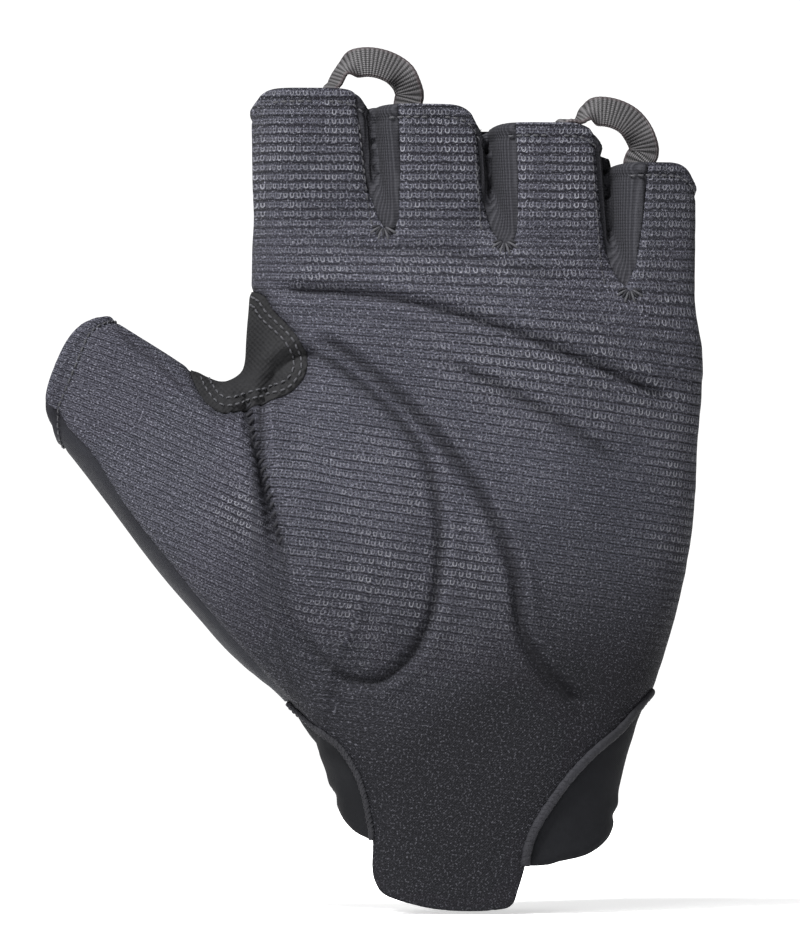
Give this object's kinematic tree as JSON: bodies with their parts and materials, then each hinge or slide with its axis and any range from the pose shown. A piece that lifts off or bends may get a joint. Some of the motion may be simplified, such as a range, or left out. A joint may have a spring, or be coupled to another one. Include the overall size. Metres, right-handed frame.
{
  "type": "fingerless cycling glove",
  "caption": "Left-hand fingerless cycling glove with a knit palm, a smooth stretch back and cuff, and webbing pull loops between the fingers.",
  "frame": {"origin": "middle of the wrist opening, where the hand goes in", "axes": "+Z from the wrist to the fingertips, -Y out of the palm, -X towards the thumb"},
  "size_m": [0.1331, 0.0401, 0.1775],
  "materials": {
    "knit": "fine knit with raised loops, matt with small glints",
    "smooth_cloth": "smooth stretch cloth, low sheen",
    "suede": "fine matt nap",
    "ribbed_knit": "fine lengthwise ribs, matt",
    "thread": "overlocked thread, satin",
    "webbing": "grosgrain ribs, satin"
  },
  "bodies": {
    "root": {"palm_panel": "knit", "back_panel": "smooth_cloth", "thumb_back": "smooth_cloth", "crotch_patch": "suede", "cuff": "smooth_cloth", "cuff_binding_left": "thread", "cuff_binding_right": "thread", "fourchette_index_middle": "ribbed_knit", "fourchette_middle_ring": "ribbed_knit", "fourchette_ring_little": "ribbed_knit", "pull_loop_index_middle": "webbing", "pull_loop_ring_little": "webbing"}
  },
  "joints": []
}
